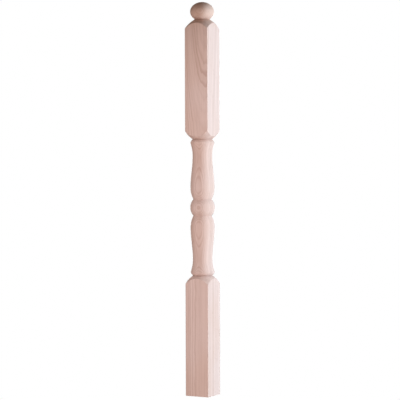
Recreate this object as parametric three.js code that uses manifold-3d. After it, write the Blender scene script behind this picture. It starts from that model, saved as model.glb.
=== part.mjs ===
// Turned newel post for a staircase, in bare beech.
//
// One length of square timber. Two blocks are left square, for the handrail above and the string
// below. The middle is turned round between them, and the top is turned to a squat ball.
// A rounded shoulder joins square to round, so it shows as an arch on each flat face.
// Millimetres, +Z up, with the origin at the centre of the foot.

import * as THREE from 'three';
import { mergeVertices } from 'three/addons/utils/BufferGeometryUtils.js';
import Module from 'manifold-3d';

// The square timber
const STOCK = 79.4; // side of the square, 3 1/8 in
const ARRIS_RADIUS = 1.5; // sanded long edges of the blocks

// Heights along the post, each measured on the square corner, 48 in overall
const LOWER_BLOCK = 346.8; // foot to the shoulder below the turning
const TURNING = 475; // from one block's corner to the other's
const UPPER_BLOCK = 313.2; // between its own two shoulders
const FINIAL_SHOULDER = 31.1; // rise from the corner to the neck under the top ball
const FINIAL = 53.1; // top ball, from its neck to its crown

// Shoulders from square to round
const SHOULDER_RADIUS = 115; // curve of the cut, seen in profile

// The turning, alike above and below its middle, with offsets measured from the middle
const BEAD_RADIUS = 38.1; // middle ball, a true sphere
const QUIRK_OFFSET = 25.4; // V groove each side of the middle ball
const BULGE_RADIUS = 37.3;
const BULGE_OFFSET = 60.7;
const WAIST_RADIUS = 30.5;
const WAIST_OFFSET = 160.5;
const LIP_RADIUS = 37.3; // sharp rim where the waist flares out
const LIP_OFFSET = 200.2;
const LIP_ROUND = 17; // curve from the rim in to the neck
const NECK_RADIUS = 29.8; // V groove between the rim and the shoulder
const NECK_OFFSET = 211.1;

// The top ball
const FINIAL_RADIUS = 36.9;
const FINIAL_NECK = 22.5; // radius of the groove it sits in

// Facets
const SIDES = 48; // a multiple of 8, so that a corner of the timber falls on a facet edge
const ARRIS_STEPS = 3;
const SHOULDER_STEPS = 5;
const ROUND_STEPS = 5;
const SWELL_STEPS = 8;
const FINIAL_STEPS = 15;
const SPARE = 10; // how far the turned form and the timber run past each other
const SAME_POINT = 1e-6; // profile points closer than this are one

const HALF_WAVE = 0.3642; // share of the length that bends a Bezier curve into half a cosine wave

const CORNER = STOCK / Math.SQRT2; // from the axis to a corner of the square
const MIDDLE = LOWER_BLOCK + TURNING / 2;
const UPPER_BLOCK_TOP = LOWER_BLOCK + TURNING + UPPER_BLOCK;
const FINIAL_BASE = UPPER_BLOCK_TOP + FINIAL_SHOULDER;
const HEIGHT = FINIAL_BASE + FINIAL;

// A point of the profile, by its distance from the axis and its height.
const point = (radius, height) => new THREE.Vector2(radius, height);

// An arc from one point up to the next. It swells outwards for a positive radius and inwards
// for a negative one.
function arc(from, to, radius, steps) {
  const chord = to.clone().sub(from);
  const inward = point(-chord.y, chord.x).normalize();
  const reach = Math.sqrt(radius ** 2 - (chord.length() / 2) ** 2) * Math.sign(radius);
  const centre = from.clone().add(to).multiplyScalar(0.5).addScaledVector(inward, reach);
  const start = from.clone().sub(centre).angle();
  const end = to.clone().sub(centre).angle();
  const size = Math.abs(radius);
  return new THREE.EllipseCurve(centre.x, centre.y, size, size, start, end, radius < 0).getPoints(steps);
}

// Radius of the arc that stands upright at one point and passes through the other.
function uprightRadius(upright, other) {
  const across = upright.x - other.x;
  const along = upright.y - other.y;
  return (across ** 2 + along ** 2) / (2 * across);
}

// An S curve between two points, upright at both.
function swell(from, to) {
  const lead = (to.y - from.y) * HALF_WAVE;
  const leave = point(from.x, from.y + lead);
  const arrive = point(to.x, to.y - lead);
  return new THREE.CubicBezierCurve(from, leave, arrive, to).getPoints(SWELL_STEPS);
}

// The upper half of the turning: middle ball, vase, rim and shoulder, out to the block's corner.
function halfTurning() {
  const middle = point(BEAD_RADIUS, 0);
  const quirk = point(Math.sqrt(BEAD_RADIUS ** 2 - QUIRK_OFFSET ** 2), QUIRK_OFFSET);
  const bulge = point(BULGE_RADIUS, BULGE_OFFSET);
  const waist = point(WAIST_RADIUS, WAIST_OFFSET);
  const lip = point(LIP_RADIUS, LIP_OFFSET);
  const neck = point(NECK_RADIUS, NECK_OFFSET);
  const corner = point(CORNER, TURNING / 2);
  return [
    arc(middle, quirk, BEAD_RADIUS, ROUND_STEPS),
    arc(quirk, bulge, uprightRadius(bulge, quirk), ROUND_STEPS),
    swell(bulge, waist),
    arc(waist, lip, uprightRadius(waist, lip), ROUND_STEPS),
    arc(lip, neck, LIP_ROUND, ROUND_STEPS),
    arc(neck, corner, SHOULDER_RADIUS, SHOULDER_STEPS),
  ].flat();
}

// The shoulder over the upper block, and the squat ball that stands in its groove.
function finial() {
  const corner = point(CORNER, UPPER_BLOCK_TOP);
  const neck = point(FINIAL_NECK, FINIAL_BASE);
  const upperShare = 1 / (1 + Math.sqrt(1 - (FINIAL_NECK / FINIAL_RADIUS) ** 2));
  const halfHeight = FINIAL * upperShare;
  const centre = HEIGHT - halfHeight;
  const neckAngle = Math.atan2((FINIAL_BASE - centre) / halfHeight, FINIAL_NECK / FINIAL_RADIUS);
  const shoulder = arc(corner, neck, SHOULDER_RADIUS, SHOULDER_STEPS);
  const curve = new THREE.EllipseCurve(0, centre, FINIAL_RADIUS, halfHeight, neckAngle, Math.PI / 2);
  const ball = curve.getPoints(FINIAL_STEPS).slice(0, -1);
  const crown = point(0, HEIGHT);
  return [...shoulder, ...ball, crown];
}

// The whole turned form. It stands clear of the timber's corners along the square blocks.
function turnedForm() {
  const upperHalf = halfTurning();
  const lowerHalf = upperHalf.map(({ x, y }) => point(x, -y)).reverse();
  const turning = [...lowerHalf, ...upperHalf].map(({ x, y }) => point(x, y + MIDDLE));
  const foot = [point(0, -SPARE), point(CORNER, -SPARE)];
  const profile = [...foot, ...turning, ...finial()];
  const distinct = profile.filter((p, i) => i === 0 || p.distanceTo(profile[i - 1]) > SAME_POINT);
  return new THREE.LatheGeometry(distinct, SIDES).rotateX(Math.PI / 2);
}

// The square timber, with its four long edges eased.
function timber() {
  const half = STOCK / 2;
  const inner = half - ARRIS_RADIUS;
  const outline = new THREE.Shape();
  outline.absarc(inner, inner, ARRIS_RADIUS, 0, Math.PI / 2);
  outline.absarc(-inner, inner, ARRIS_RADIUS, Math.PI / 2, Math.PI);
  outline.absarc(-inner, -inner, ARRIS_RADIUS, Math.PI, Math.PI * 1.5);
  outline.absarc(inner, -inner, ARRIS_RADIUS, Math.PI * 1.5, Math.PI * 2);
  return new THREE.ExtrudeGeometry(outline, {
    depth: HEIGHT + SPARE,
    bevelEnabled: false,
    curveSegments: ARRIS_STEPS,
  });
}

const wasm = await Module();
wasm.setup();

// A closed solid from a geometry, without the slivers that have no area.
function solid(geometry) {
  geometry.deleteAttribute('normal');
  geometry.deleteAttribute('uv');
  const merged = mergeVertices(geometry);
  const corners = merged.index.array;
  const triangles = [];
  for (let i = 0; i < corners.length; i += 3) {
    const [a, b, c] = corners.slice(i, i + 3);
    if (a !== b && b !== c && c !== a) triangles.push(a, b, c);
  }
  return new wasm.Manifold(new wasm.Mesh({
    numProp: 3,
    vertProperties: new Float32Array(merged.attributes.position.array),
    triVerts: new Uint32Array(triangles),
  }));
}

// The post as it comes off the lathe: what the turned form and the timber have in common.
function newelPost() {
  const { vertProperties, triVerts } = solid(turnedForm()).intersect(solid(timber())).getMesh();
  const geometry = new THREE.BufferGeometry();
  geometry.setAttribute('position', new THREE.BufferAttribute(vertProperties, 3));
  geometry.setIndex(new THREE.BufferAttribute(triVerts, 1));
  geometry.computeVertexNormals();
  const beech = new THREE.MeshStandardMaterial({ color: 0xd8b6a4, roughness: 0.6, metalness: 0 });
  const mesh = new THREE.Mesh(geometry, beech);
  mesh.name = 'newel_post';
  return mesh;
}

const post = new THREE.Group();
post.add(newelPost());

export default post;
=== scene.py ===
import math

import bpy
import numpy as np
from bpy.props import FloatProperty, FloatVectorProperty, PointerProperty
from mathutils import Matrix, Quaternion, Vector


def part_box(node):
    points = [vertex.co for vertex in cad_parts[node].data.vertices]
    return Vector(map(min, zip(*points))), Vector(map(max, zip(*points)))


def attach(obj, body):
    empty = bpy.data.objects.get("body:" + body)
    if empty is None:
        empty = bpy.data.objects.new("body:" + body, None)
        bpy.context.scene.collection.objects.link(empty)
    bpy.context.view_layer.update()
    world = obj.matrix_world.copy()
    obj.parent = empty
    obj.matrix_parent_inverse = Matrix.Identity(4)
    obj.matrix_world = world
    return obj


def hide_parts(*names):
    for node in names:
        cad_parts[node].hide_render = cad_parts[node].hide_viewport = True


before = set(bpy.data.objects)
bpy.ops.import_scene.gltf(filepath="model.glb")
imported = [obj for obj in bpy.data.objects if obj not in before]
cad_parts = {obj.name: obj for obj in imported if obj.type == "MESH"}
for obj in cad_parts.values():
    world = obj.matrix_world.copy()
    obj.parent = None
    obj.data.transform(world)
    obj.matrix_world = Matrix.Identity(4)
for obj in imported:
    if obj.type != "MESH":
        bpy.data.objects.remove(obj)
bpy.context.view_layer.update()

bl_info = {
    "name": "Turned newel post",
    "version": (1, 0, 0),
    "blender": (4, 5, 0),
    "location": "View3D > Sidebar > Newel",
    "description": "A turned newel post in bare beech, and a plain studio to show it in",
    "category": "Add Mesh",
}

POST_NODE = "newel_post"
POST_LOW, POST_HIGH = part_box(POST_NODE)
MM = 0.001

# How finely the post is meshed
FACE_COLUMNS = 30               # across one flat face
ARRIS_COLUMNS = 6               # round one eased long edge
BLOCK_PITCH = 12 * MM           # between rows on the square blocks
TURNED_PITCH = 1.25 * MM        # between rows on the turning
SHOULDER_ROWS = 22
EASE_ANGLE = math.radians(20)   # edges sharper than this are eased
EASE_STEPS = 2                  # facets across an eased edge
HALF_WAVE = 0.3642              # bends a Bezier curve into half a cosine wave
FOOT_PATCH = 0.05               # side of the corner of the UV map that is kept for the foot

# Noise in the beech, in cells of so many millimetres across the fibres and along them.
# True fibres and tool marks are a fraction of a millimetre wide, so these are coarser, to show.
FIGURE = {
    "sway": (90, 420, "Color"),         # slow drift of the growth rings
    "waves": (11, 45, "Color"),         # small waves in them
    "patches": (90, 220, "Fac"),        # pink turning to tan
    "streaks": (13, 700, "Fac"),        # broad stripes up the post
    "fibres": (3.6, 170, "Fac"),        # fine stripes
    "tool_marks": (60, 1.2, "Fac"),     # lines left across the fibres by chisel and planer
}
SWAY = 3.0 * MM
WAVES = 2.2 * MM

# Each year's growth, in shares of the year
LATE_START = 0.25       # the wood begins to darken
LATE_FULL = 0.85        # it is darkest
SPRING_START = 0.84     # the pale wood of the next spring begins to show
WEAKEST_YEAR = 0.15     # darkness of the faintest line, against the strongest

# Other marks in the wood
BAND_WIDTH = 12 * MM    # runs of paler and darker years
BAND_DETAIL = 3
BAND_ROUGHNESS = 0.75
RAY_DEPTH = 10 * MM     # outwards from the heart
RAY_WIDTH = 1.5 * MM    # a true ray is a third of this
RAY_HEIGHT = 9 * MM
RAY_DETAIL = 1
# painted shade reaches this far from the bottom of a groove
GROOVE_SHADE_REACH = 15 * MM  # how far from the bottom of a groove its wood is darker

# The surface of the wood
SOFT_FIBRE = 0.3        # levels of the fine stripes, from the softest
HARD_FIBRE = 0.7        # to the hardest
SOFT_ROUGHNESS = 0.8    # between the harder stripes
HARD_ROUGHNESS = 0.68   # along them
WOOD_IOR = 1.5
BARE_SHEEN = 0.15       # bare wood scatters most of its gloss
MARK_DEPTH = 0.03 * MM
MARK_STRENGTH = 0.25
STRIPE_DEPTH = 0.06 * MM
STRIPE_STRENGTH = 0.35

# The studio
FLOOR_SIDE = 30
KEY_SIZE = (0.9, 2.0)
FILL_SIZE = (0.2, 1.42)
BACK_SIZE = (1.0, 1.4)
SURROUND_SEEN = 1.0     # white behind the post
SURROUND_SHEEN = 0.6    # what the wood mirrors of it
FLOOR_LIGHT = 0.33      # what lights the shadows from below
CEILING_LIGHT = 0.12    # and from above
FLOOR_GLOW = 1.0        # keeps the floor as white as the surround


def linear(hex_colour):
    """An sRGB hex colour as linear red, green and blue."""
    shares = [int(hex_colour[i:i + 2], 16) / 255 for i in (1, 3, 5)]
    return [s / 12.92 if s <= 0.04045 else ((s + 0.055) / 1.055) ** 2.4 for s in shares]


def length(name, description, metres):
    """A length that a user may change."""
    return FloatProperty(name=name, description=description, default=metres, min=0,
                         unit="LENGTH", subtype="DISTANCE", precision=4)


def angle(name, description, degrees):
    """An angle that a user may change."""
    return FloatProperty(name=name, description=description, default=math.radians(degrees),
                         subtype="ANGLE")


def power(name, description, watts):
    """A lamp's power that a user may change."""
    return FloatProperty(name=name, description=description, default=watts, min=0, subtype="POWER")


def colour(name, description, hex_colour):
    """A colour that a user may change."""
    return FloatVectorProperty(name=name, description=description, default=linear(hex_colour),
                               size=3, min=0, max=1, subtype="COLOR")


class NewelSizes(bpy.types.PropertyGroup):
    """The turner's sizes, the same ones that the solid is made from."""
    stock: length("Stock", "Side of the square timber", POST_HIGH.x - POST_LOW.x)
    height: length("Height", "Foot to crown", POST_HIGH.z - POST_LOW.z)
    arris: length("Arris", "Radius of the eased long edges", 1.5 * MM)
    ease: length("Ease", "Sanded width on the crisp turned edges", 0.45 * MM)
    lower_block: length("Lower block", "Foot to the shoulder below the turning, on the corner", 346.8 * MM)
    turning: length("Turning", "Between the two blocks, corner to corner", 475 * MM)
    finial_shoulder: length("Finial shoulder", "Rise from the top corner to the finial's neck", 31.1 * MM)
    finial: length("Finial", "Top ball, neck to crown", 53.1 * MM)
    shoulder_radius: length("Shoulder radius", "Curve of the cut from square to round", 115 * MM)
    bead_radius: length("Bead radius", "Middle ball, a true sphere", 38.1 * MM)
    quirk_offset: length("Quirk offset", "Middle to the V groove beside the middle ball", 25.4 * MM)
    bulge_radius: length("Bulge radius", "Widest part of each vase", 37.3 * MM)
    bulge_offset: length("Bulge offset", "Middle to the widest part of a vase", 60.7 * MM)
    waist_radius: length("Waist radius", "Narrowest part of each vase", 30.5 * MM)
    waist_offset: length("Waist offset", "Middle to the narrowest part of a vase", 160.5 * MM)
    lip_radius: length("Lip radius", "Sharp rim where the waist flares out", 37.3 * MM)
    lip_offset: length("Lip offset", "Middle to the rim", 200.2 * MM)
    lip_round: length("Lip round", "Curve from the rim in to the neck", 17 * MM)
    neck_radius: length("Neck radius", "V groove between the rim and the shoulder", 29.8 * MM)
    neck_offset: length("Neck offset", "Middle to the neck", 211.1 * MM)
    finial_radius: length("Finial radius", "Widest part of the top ball", 36.9 * MM)
    finial_neck: length("Finial neck", "Groove that the top ball stands in", 22.5 * MM)


class BeechLook(bpy.types.PropertyGroup):
    """The timber: where the heart of the tree lay, how fast it grew, and its colours, with painted shade
    for the grooves and the top.
    """
    early_wood: colour("Early wood", "Pale wood laid down in spring", "#D4B4A9")
    warm_wood: colour("Warm wood", "Tan patches in the pink", "#CDA593")
    late_wood: colour("Late wood", "Darker line that closes each year", "#AA8170")
    ray: colour("Rays", "Short brown flecks", "#9C7464")
    end_grain: colour("End grain", "Where the cut crosses the fibres", "#AB9186")
    # painted shade: grooves and other recesses are darkened towards this colour, by ambient occlusion
    groove: colour("Grooves", "Wood scorched a little by the tool", "#8E6C5E")
    # painted shade: the top of the post is darkened towards this colour, for less light from above
    crown: colour("Crown", "Browner wood at the top end", "#C8987B")
    crown_shade_start: length("Crown start", "Height above which the wood turns browner", 1130 * MM)
    crown_shade_full: length("Crown full", "Height above which it is brownest", 1170 * MM)
    ring_width: length("Ring width", "Growth in one year", 2.8 * MM)
    heart_years: FloatProperty(name="Heart years", default=116.73,
                               description="Year count at the heart, which picks the strong years")
    heart_across: length("Heart across", "Heart of the tree, to the right of the post's axis", 29.5 * MM)
    heart_ahead: length("Heart ahead", "Heart of the tree, in front of the post's axis", 165 * MM)
    lean_start: length("Lean start", "Height above which the heart leans", 750 * MM)
    heart_lean: length("Heart lean", "How much nearer the heart lies at the crown", 24 * MM)
    heart_aside: length("Heart aside", "How much further right the heart lies at the crown", 11 * MM)


class StudioSet(bpy.types.PropertyGroup):
    """Camera and lights, with bearings counted to the right."""
    azimuth: angle("Azimuth", "Camera's bearing from the front face", 28.65)
    distance: length("Distance", "Camera to the post's axis", 5.201)
    level: length("Level", "Camera above the floor", 0.774)
    tilt: angle("Tilt", "Camera looks down by this", 1.836)
    aside: angle("Aside", "Camera aims left of the post by this", 0.086)
    roll: angle("Roll", "Lean of the camera", 0.158)
    lens: FloatProperty(name="Lens", description="Focal length on a sensor 36 mm wide", default=151,
                        subtype="DISTANCE_CAMERA")
    key_bearing: angle("Key bearing", "Softbox, from the camera", 81.4)
    key_distance: length("Key distance", "Softbox to the post", 3)
    key_level: length("Key level", "Middle of the softbox above the floor", 0.68)
    key_power: power("Key power", "Softbox, in watts", 193)
    fill_bearing: angle("Fill bearing", "Fill panel, from the camera", -21)
    fill_distance: length("Fill distance", "Fill panel to the post", 0.3)
    fill_level: length("Fill level", "Middle of the fill panel above the floor", 0.49)
    fill_power: power("Fill power", "Fill panel, in watts", 2.32)
    back_bearing: angle("Back bearing", "Back panel, from the camera", -165)
    back_distance: length("Back distance", "Back panel to the post", 2)
    back_level: length("Back level", "Middle of the back panel above the floor", 0.7)
    back_power: power("Back power", "Back panel, in watts", 32)
    key_tint: colour("Key tint", "Softbox, cool as daylight", "#CEEDFF")
    fill_tint: colour("Fill tint", "Fill panel, neutral", "#F0F7FF")
    back_tint: colour("Back tint", "Back panel, neutral", "#FFFFFF")
    shade_tint: colour("Shade tint", "What lights the shadows, a little warm", "#FFE7CE")


# The profile of the turning

def arc_centre(start, end, radius):
    """Centre of the arc from one point up to the next: it swells out, or in for a negative radius."""
    start, end = np.array(start), np.array(end)
    chord = end - start
    span = np.hypot(*chord)
    inward = np.array([-chord[1], chord[0]]) / span
    reach = math.copysign(math.sqrt(radius ** 2 - (span / 2) ** 2), radius)
    return (start + end) / 2 + inward * reach


def arc(start, end, radius):
    """Points along that arc, about one turned row apart."""
    centre = arc_centre(start, end, radius)
    first = math.atan2(start[1] - centre[1], start[0] - centre[0])
    last = math.atan2(end[1] - centre[1], end[0] - centre[0])
    sweep = (last - first + math.pi) % math.tau - math.pi
    steps = round(abs(radius * sweep) / TURNED_PITCH)
    angles = first + sweep * np.linspace(0, 1, steps + 1)
    return centre + abs(radius) * np.column_stack([np.cos(angles), np.sin(angles)])


def upright_radius(upright, other):
    """Radius of the arc that stands upright at one point and passes through the other."""
    across = upright[0] - other[0]
    along = upright[1] - other[1]
    return (across ** 2 + along ** 2) / (2 * across)


def swell(start, end):
    """An S curve between two points, upright at both."""
    rise = end[1] - start[1]
    leave = (start[0], start[1] + rise * HALF_WAVE)
    arrive = (end[0], end[1] - rise * HALF_WAVE)
    t = np.linspace(0, 1, round(rise / TURNED_PITCH) + 1)[:, None]
    weights = np.hstack([(1 - t) ** 3, 3 * t * (1 - t) ** 2, 3 * t ** 2 * (1 - t), t ** 3])
    return weights @ np.array([start, leave, arrive, end])


def half_turning(sizes):
    """Radius and offset from the middle ball's centre up to the neck under the shoulder."""
    middle = (sizes.bead_radius, 0)
    quirk = (math.sqrt(sizes.bead_radius ** 2 - sizes.quirk_offset ** 2), sizes.quirk_offset)
    bulge = (sizes.bulge_radius, sizes.bulge_offset)
    waist = (sizes.waist_radius, sizes.waist_offset)
    lip = (sizes.lip_radius, sizes.lip_offset)
    neck = (sizes.neck_radius, sizes.neck_offset)
    return np.vstack([
        arc(middle, quirk, sizes.bead_radius)[:-1],
        arc(quirk, bulge, upright_radius(bulge, quirk))[:-1],
        swell(bulge, waist)[:-1],
        arc(waist, lip, upright_radius(waist, lip))[:-1],
        arc(lip, neck, sizes.lip_round),
    ])


def finial_ball(sizes):
    """Radius and height of the squat top ball, from its neck to just below its crown."""
    neck_share = sizes.finial_neck / sizes.finial_radius
    half_height = sizes.finial / (1 + math.sqrt(1 - neck_share ** 2))
    first = -math.acos(neck_share)
    steps = round(sizes.finial_radius * (math.pi / 2 - first) / TURNED_PITCH)
    angles = np.linspace(first, math.pi / 2, steps + 1)[:-1]
    heights = sizes.height - half_height + half_height * np.sin(angles)
    return np.column_stack([sizes.finial_radius * np.cos(angles), heights])


# The rows of the mesh, each with a radius and a height for every column

def eased_square(sizes):
    """Points round the timber's section, with the four arrises eased."""
    half = sizes.stock / 2
    flat = half - sizes.arris
    across = np.linspace(-flat, flat, FACE_COLUMNS + 1)
    bend = np.linspace(0, math.pi / 2, ARRIS_COLUMNS + 1)[1:-1]
    side = np.column_stack([across, np.full_like(across, -half)])
    corner = np.column_stack([flat + sizes.arris * np.sin(bend), -flat - sizes.arris * np.cos(bend)])
    quarter = np.vstack([side, corner])
    quarter_turn = np.array([[0, -1], [1, 0]])
    return np.vstack([quarter @ np.linalg.matrix_power(quarter_turn, turns).T for turns in range(4)])


def round_rows(profile, columns):
    """Turned rows: every column at the same radius and height."""
    return [(np.full(columns, radius), np.full(columns, height)) for radius, height in profile]


def shoulder_rows(square, corner, neck, radius):
    """Rows of a shoulder from its arch on the flats to its neck."""
    rising = neck[1] > corner[1]
    centre = arc_centre(corner, neck, radius) if rising else arc_centre(neck, corner, radius)
    rise = np.sqrt(radius ** 2 - (square - centre[0]) ** 2)
    arch = rise if rising else -rise
    first = np.arctan2(arch, square - centre[0])
    last = math.atan2(neck[1] - centre[1], neck[0] - centre[0])
    rows = []
    for share in np.linspace(0, 1, SHOULDER_ROWS + 1):
        turn = first + (last - first) * share
        rows.append((centre[0] + radius * np.cos(turn), centre[1] + radius * np.sin(turn)))
    return rows


def block_rows(square, bottom, top):
    """Rows of a square block between two heights, which may differ from column to column."""
    steps = round(float(np.mean(top - bottom)) / BLOCK_PITCH)
    return [(square, bottom + (top - bottom) * share) for share in np.linspace(0, 1, steps + 1)]


def post_rows(sizes, square):
    """Every row of the post from the foot to just below the crown."""
    columns = len(square)
    corner = sizes.stock / math.sqrt(2)
    upper_half = half_turning(sizes)
    lower_half = (upper_half * [1, -1])[:0:-1]
    middle = sizes.lower_block + sizes.turning / 2
    turning = np.vstack([lower_half, upper_half]) + [0, middle]
    low_corner = (corner, sizes.lower_block)
    rail_corner = (corner, sizes.lower_block + sizes.turning)
    top_corner = (corner, sizes.height - sizes.finial - sizes.finial_shoulder)
    top_neck = (sizes.finial_neck, sizes.height - sizes.finial)
    low_shoulder = shoulder_rows(square, low_corner, turning[0], sizes.shoulder_radius)
    rail_shoulder = shoulder_rows(square, rail_corner, turning[-1], sizes.shoulder_radius)[::-1]
    top_shoulder = shoulder_rows(square, top_corner, top_neck, sizes.shoulder_radius)
    return (
        block_rows(square, np.zeros(columns), low_shoulder[0][1])
        + low_shoulder[1:]
        + round_rows(turning[1:-1], columns)
        + rail_shoulder
        + block_rows(square, rail_shoulder[-1][1], top_shoulder[0][1])[1:]
        + top_shoulder[1:]
        + round_rows(finial_ball(sizes)[1:], columns)
    )


def post_mesh(sizes):
    """The post as one closed mesh of quads, with a fan at the crown and one face at the foot."""
    outline = eased_square(sizes)
    square = np.hypot(outline[:, 0], outline[:, 1])
    ways = outline / square[:, None]
    rows = post_rows(sizes, square)
    places = np.array([np.column_stack([ways * radius[:, None], height]) for radius, height in rows])
    count, columns = places.shape[:2]
    here = np.arange(columns)
    beside = np.roll(here, -1)
    faces = [here[::-1].tolist()]
    for low in range(0, (count - 1) * columns, columns):
        high = low + columns
        faces += np.column_stack([low + here, low + beside, high + beside, high + here]).tolist()
    crown = count * columns
    faces += [[crown - columns + a, crown - columns + b, crown] for a, b in zip(here, beside)]
    mesh = bpy.data.meshes.new("turned_newel_post")
    mesh.from_pydata(places.reshape(-1, 3).tolist() + [(0, 0, sizes.height)], [], faces)
    mesh.shade_smooth()
    lay_flat(mesh, places)
    return mesh


def lay_flat(mesh, places):
    """Unrolls the skin of the post on the UV map, with the foot in a corner of its own."""
    count, columns = places.shape[:2]
    steps = np.linalg.norm(np.diff(places, axis=0), axis=2).mean(axis=1)
    along = np.append(np.concatenate([[0], np.cumsum(steps)]), np.sum(steps) + TURNED_PITCH)
    along /= along[-1]
    around = np.linspace(0, 1 - FOOT_PATCH, columns + 1)
    half_column = around[1] / 2
    foot = places[0, ::-1, :2]
    foot = 1 - FOOT_PATCH + FOOT_PATCH * (foot - foot.min(axis=0)) / np.ptp(foot, axis=0)
    spots = [foot]
    for row in range(count - 1):
        for column in range(columns):
            left, right = around[column], around[column + 1]
            low, high = along[row], along[row + 1]
            spots.append([(left, low), (right, low), (right, high), (left, high)])
    for left, right in zip(around, around[1:]):
        spots.append([(left, along[-2]), (right, along[-2]), (left + half_column, along[-1])])
    mesh.uv_layers.new(name="OFBake").uv.foreach_set("vector", np.vstack(spots).ravel())


# Materials

def add_node(tree, kind, inputs, output=0, **settings):
    """Adds a node with its settings, values and links, and gives back the output that is wanted."""
    node = tree.nodes.new("ShaderNode" + kind)
    for name, value in settings.items():
        setattr(node, name, value)
    for name, value in inputs.items():
        if isinstance(value, bpy.types.NodeSocket):
            tree.links.new(value, node.inputs[name])
        else:
            node.inputs[name].default_value = value
    return node.outputs[output]


def sanded_beech(look, sizes):
    """Steamed beech, turned and sanded, left bare: a pale pinkish wood with a dull surface.

    The eye sees curved growth lines where a face runs along the rings, straight ones where it
    crosses them, short brown ray flecks, darker end grain, and painted shade in grooves and at the top.
    """
    material = bpy.data.materials.new("steamed beech, turned and sanded")
    material.use_nodes = True
    tree = material.node_tree
    shader = tree.nodes["Principled BSDF"]
    place = add_node(tree, "TexCoord", {}, "Object")
    height = add_node(tree, "SeparateXYZ", {0: place}, "Z")
    figure = {}
    for name, (across, along, output) in FIGURE.items():
        cells = (1 / (across * MM), 1 / (across * MM), 1 / (along * MM))
        stretched = add_node(tree, "VectorMath", {0: place, 1: cells}, operation="MULTIPLY")
        figure[name] = add_node(tree, "TexNoise", {"Vector": stretched, "Scale": 1}, output)

    # Growth rings round the heart of the tree, which leans towards the right arris at the top
    lean = add_node(tree, "MapRange", {
        "Value": height, "From Min": look.lean_start, "From Max": sizes.height,
    }, interpolation_type="SMOOTHSTEP")
    heart_foot = (look.heart_across, -look.heart_ahead, 0)
    heart = add_node(tree, "VectorMath", {
        0: lean, 1: (look.heart_aside, look.heart_lean, 0), 2: heart_foot}, operation="MULTIPLY_ADD")
    level_place = add_node(tree, "VectorMath", {0: place, 1: (1, 1, 0)}, operation="MULTIPLY")
    outward = add_node(tree, "VectorMath", {0: level_place, 1: heart}, operation="SUBTRACT")
    for name, reach in (("sway", SWAY), ("waves", WAVES)):
        shift = {0: figure[name], 1: (reach, reach, 0), 2: outward}
        outward = add_node(tree, "VectorMath", shift, operation="MULTIPLY_ADD")
    from_heart = add_node(tree, "VectorMath", {0: outward}, "Value", operation="LENGTH")
    years = add_node(tree, "Math", {
        0: from_heart, 1: 1 / look.ring_width, 2: look.heart_years}, operation="MULTIPLY_ADD")
    season = add_node(tree, "Math", {0: years}, operation="FRACT")
    year = add_node(tree, "Math", {0: years}, operation="FLOOR")
    chance = add_node(tree, "TexWhiteNoise", {"W": year}, "Value", noise_dimensions="1D")
    strength = add_node(tree, "MapRange", {"Value": chance, "To Min": WEAKEST_YEAR})
    darkening = add_node(tree, "MapRange", {
        "Value": season, "From Min": LATE_START, "From Max": LATE_FULL}, interpolation_type="SMOOTHSTEP")
    late = add_node(tree, "MapRange", {
        "Value": season, "From Min": SPRING_START, "From Max": 1, "To Min": strength, "To Max": 0,
    }, interpolation_type="SMOOTHSTEP")
    late = add_node(tree, "Math", {0: darkening, 1: late}, operation="MULTIPLY")
    bands = add_node(tree, "TexNoise", {
        "W": from_heart, "Scale": 1 / BAND_WIDTH, "Detail": BAND_DETAIL, "Roughness": BAND_ROUGHNESS,
    }, noise_dimensions="1D")

    # Rays are thin upright sheets that run outwards from the heart
    sideways = add_node(tree, "SeparateXYZ", {0: outward}, "X")
    sheets = add_node(tree, "CombineXYZ", {"X": from_heart, "Y": sideways, "Z": height})
    cells = (1 / RAY_DEPTH, 1 / RAY_WIDTH, 1 / RAY_HEIGHT)
    sheets = add_node(tree, "VectorMath", {0: sheets, 1: cells}, operation="MULTIPLY")
    rays = add_node(tree, "TexNoise", {"Vector": sheets, "Scale": 1, "Detail": RAY_DETAIL})

    # Where the cut crosses the fibres, and painted shade where it is deep, from ambient occlusion
    facing = add_node(tree, "NewGeometry", {}, "Normal")
    upward = add_node(tree, "SeparateXYZ", {0: facing}, "Z")
    crossing = add_node(tree, "Math", {0: upward}, operation="ABSOLUTE")
    painted_groove_shade = add_node(tree, "AmbientOcclusion", {"Distance": GROOVE_SHADE_REACH}, "AO", only_local=True)

    # Each colour in turn: its pattern, where that starts and is full, and the share it then has
    wood = (*look.early_wood, 1)
    for pattern, start, full, share, dye in (
        (figure["patches"], 0.35, 0.65, 0.4, look.warm_wood),
        (bands, 0.4, 0.65, 0.15, look.late_wood),
        (late, 0.0, 1.0, 0.44, look.late_wood),
        (figure["streaks"], 0.45, 0.7, 0.12, look.late_wood),
        (figure["fibres"], 0.45, 0.8, 0.25, look.late_wood),
        (rays, 0.6, 0.75, 0.1, look.ray),
        (crossing, 0.15, 0.7, 0.05, look.end_grain),
        # painted shade in the grooves
        (painted_groove_shade, 0.9, 0.5, 0.22, look.groove),
        # painted shade at the top of the post
        (height, look.crown_shade_start, look.crown_shade_full, 0.3, look.crown),
    ):
        amount = add_node(tree, "MapRange", {
            "Value": pattern, "From Min": start, "From Max": full, "To Max": share,
        }, interpolation_type="SMOOTHSTEP")
        wood = add_node(tree, "Mix", {0: amount, 6: wood, 7: (*dye, 1)}, 2, data_type="RGBA")
    tree.links.new(wood, shader.inputs["Base Color"])

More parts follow.
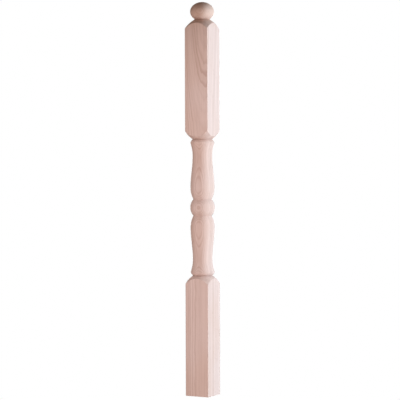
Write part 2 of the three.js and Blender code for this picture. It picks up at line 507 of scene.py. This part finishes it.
    # A dull surface, a little smoother along the harder stripes, with fine tool marks
    dullness = add_node(tree, "MapRange", {
        "Value": figure["fibres"], "From Min": SOFT_FIBRE, "From Max": HARD_FIBRE,
        "To Min": SOFT_ROUGHNESS, "To Max": HARD_ROUGHNESS})
    tree.links.new(dullness, shader.inputs["Roughness"])
    marks = add_node(tree, "Bump", {
        "Strength": MARK_STRENGTH, "Distance": MARK_DEPTH, "Height": figure["tool_marks"]})
    relief = add_node(tree, "Bump", {
        "Strength": STRIPE_STRENGTH, "Distance": STRIPE_DEPTH, "Height": figure["fibres"],
        "Normal": marks})
    tree.links.new(relief, shader.inputs["Normal"])
    shader.inputs["IOR"].default_value = WOOD_IOR
    shader.inputs["Specular IOR Level"].default_value = BARE_SHEEN
    return material


def opal_floor():
    """Opal acrylic sheet lit from below: it looks evenly white, and shadows drown in its glow.

    Its own colour is left black, so that the panels don't add to the glow.
    """
    material = bpy.data.materials.new("opal acrylic, lit from below")
    material.use_nodes = True
    shader = material.node_tree.nodes["Principled BSDF"]
    shader.inputs["Base Color"].default_value = (0, 0, 0, 1)
    shader.inputs["Specular IOR Level"].default_value = 0
    shader.inputs["Emission Color"].default_value = (1, 1, 1, 1)
    shader.inputs["Emission Strength"].default_value = FLOOR_GLOW
    return material


# The stage

def lay_floor(scene):
    """A wide white floor that throws neither light nor shadow on the post."""
    half = FLOOR_SIDE / 2
    mesh = bpy.data.meshes.new("floor")
    corners = [(-half, -half, 0), (half, -half, 0), (half, half, 0), (-half, half, 0)]
    mesh.from_pydata(corners, [], [range(4)])
    mesh.materials.append(opal_floor())
    floor = bpy.data.objects.new("floor", mesh)
    floor.visible_diffuse = False
    floor.visible_glossy = False
    floor.visible_shadow = False
    scene.collection.objects.link(floor)


def surround_with_white(scene, shade_tint):
    """A surround that looks white, but lights the shadows only faintly, and mostly from below."""
    world = bpy.data.worlds.new("studio")
    world.use_nodes = True
    tree = world.node_tree
    way = add_node(tree, "TexCoord", {}, "Generated")
    upward = add_node(tree, "SeparateXYZ", {0: way}, "Z")
    light = add_node(tree, "MapRange", {
        "Value": upward, "From Min": -1, "To Min": FLOOR_LIGHT, "To Max": CEILING_LIGHT})
    surround = add_node(tree, "Background", {"Color": (*shade_tint, 1), "Strength": light})
    for ray, strength in (("Is Glossy Ray", SURROUND_SHEEN), ("Is Camera Ray", SURROUND_SEEN)):
        wanted = add_node(tree, "LightPath", {}, ray)
        white = add_node(tree, "Background", {"Color": (1, 1, 1, 1), "Strength": strength})
        surround = add_node(tree, "MixShader", {0: wanted, 1: surround, 2: white})
    tree.links.new(surround, tree.nodes["World Output"].inputs["Surface"])
    scene.world = world


def away(bearing):
    """From the post, level, at a bearing counted to the right from the front face."""
    return Vector((math.sin(bearing), -math.cos(bearing), 0))


def hang_panel(scene, name, size, watts, tint, place, facing):
    """A rectangular light that isn't seen itself."""
    lamp = bpy.data.lights.new(name, "AREA")
    lamp.shape = "RECTANGLE"
    lamp.size, lamp.size_y = size
    lamp.energy = watts
    lamp.color = tint
    panel = bpy.data.objects.new(name, lamp)
    panel.location = place
    panel.rotation_euler = facing.to_track_quat("-Z", "Y").to_euler()
    panel.visible_camera = False
    scene.collection.objects.link(panel)


def hang_lights(scene, studio):
    """A softbox at the right, a weak strip in front, and a panel behind.

    The floor casts no shadow, so the foot of the strip stands for what a white floor throws up.
    """
    up = Vector((0, 0, 1))
    for name, size in (("key", KEY_SIZE), ("fill", FILL_SIZE), ("back", BACK_SIZE)):
        setting = {part: getattr(studio, f"{name}_{part}") for part in
                   ("bearing", "distance", "level", "power", "tint")}
        way = away(studio.azimuth + setting["bearing"])
        hang_panel(scene, name + " panel", size, setting["power"], setting["tint"],
                   way * setting["distance"] + up * setting["level"], -way)


def stand_camera(scene, studio):
    """A long lens a little above the middle of the post, looking slightly down."""
    data = bpy.data.cameras.new("camera")
    data.lens = studio.lens
    camera = bpy.data.objects.new("camera", data)
    camera.location = away(studio.azimuth) * studio.distance + Vector((0, 0, studio.level))
    ahead = -away(studio.azimuth + studio.aside) - Vector((0, 0, math.tan(studio.tilt)))
    camera.rotation_mode = "QUATERNION"
    camera.rotation_quaternion = ahead.to_track_quat("-Z", "Y") @ Quaternion((0, 0, 1), -studio.roll)
    scene.collection.objects.link(camera)
    scene.camera = camera


# Operators and panel

class NEWEL_OT_turn_post(bpy.types.Operator):
    """Make the post, turned and sanded, in place of its plain solid"""
    bl_idname = "newel.turn_post"
    bl_label = "Turn the post"

    def execute(self, context):
        sizes = context.scene.newel_sizes
        mesh = post_mesh(sizes)
        mesh.materials.append(sanded_beech(context.scene.newel_beech, sizes))
        post = bpy.data.objects.new("turned_newel_post", mesh)
        context.scene.collection.objects.link(post)
        ease = post.modifiers.new("ease", "BEVEL")
        ease.width = sizes.ease
        ease.segments = EASE_STEPS
        ease.limit_method = "ANGLE"
        ease.angle_limit = EASE_ANGLE
        ease.harden_normals = True
        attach(post, "root")
        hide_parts(POST_NODE)
        return {"FINISHED"}


class NEWEL_OT_set_stage(bpy.types.Operator):
    """Set up the floor, the lights and the camera"""
    bl_idname = "newel.set_stage"
    bl_label = "Set the stage"

    def execute(self, context):
        scene = context.scene
        studio = scene.newel_studio
        lay_floor(scene)
        surround_with_white(scene, studio.shade_tint)
        hang_lights(scene, studio)
        stand_camera(scene, studio)
        scene.view_settings.view_transform = "Standard"
        return {"FINISHED"}


class NEWEL_PT_sidebar(bpy.types.Panel):
    """Sizes, colours and steps of the newel post"""
    bl_idname = "NEWEL_PT_sidebar"
    bl_label = "Newel post"
    bl_space_type = "VIEW_3D"
    bl_region_type = "UI"
    bl_category = "Newel"

    def draw(self, context):
        for name, group in GROUPS.items():
            box = self.layout.box()
            for setting in group.__annotations__:
                box.prop(getattr(context.scene, name), setting)
        self.layout.operator(NEWEL_OT_turn_post.bl_idname)
        self.layout.operator(NEWEL_OT_set_stage.bl_idname)


GROUPS = {"newel_sizes": NewelSizes, "newel_beech": BeechLook, "newel_studio": StudioSet}
CLASSES = (*GROUPS.values(), NEWEL_OT_turn_post, NEWEL_OT_set_stage, NEWEL_PT_sidebar)


def register():
    for cls in CLASSES:
        bpy.utils.register_class(cls)
    for name, group in GROUPS.items():
        setattr(bpy.types.Scene, name, PointerProperty(type=group))


def unregister():
    for name in GROUPS:
        delattr(bpy.types.Scene, name)
    for cls in reversed(CLASSES):
        bpy.utils.unregister_class(cls)


def main():
    register()
    bpy.ops.newel.turn_post()
    bpy.ops.newel.set_stage()


if __name__ == "__main__":
    main()
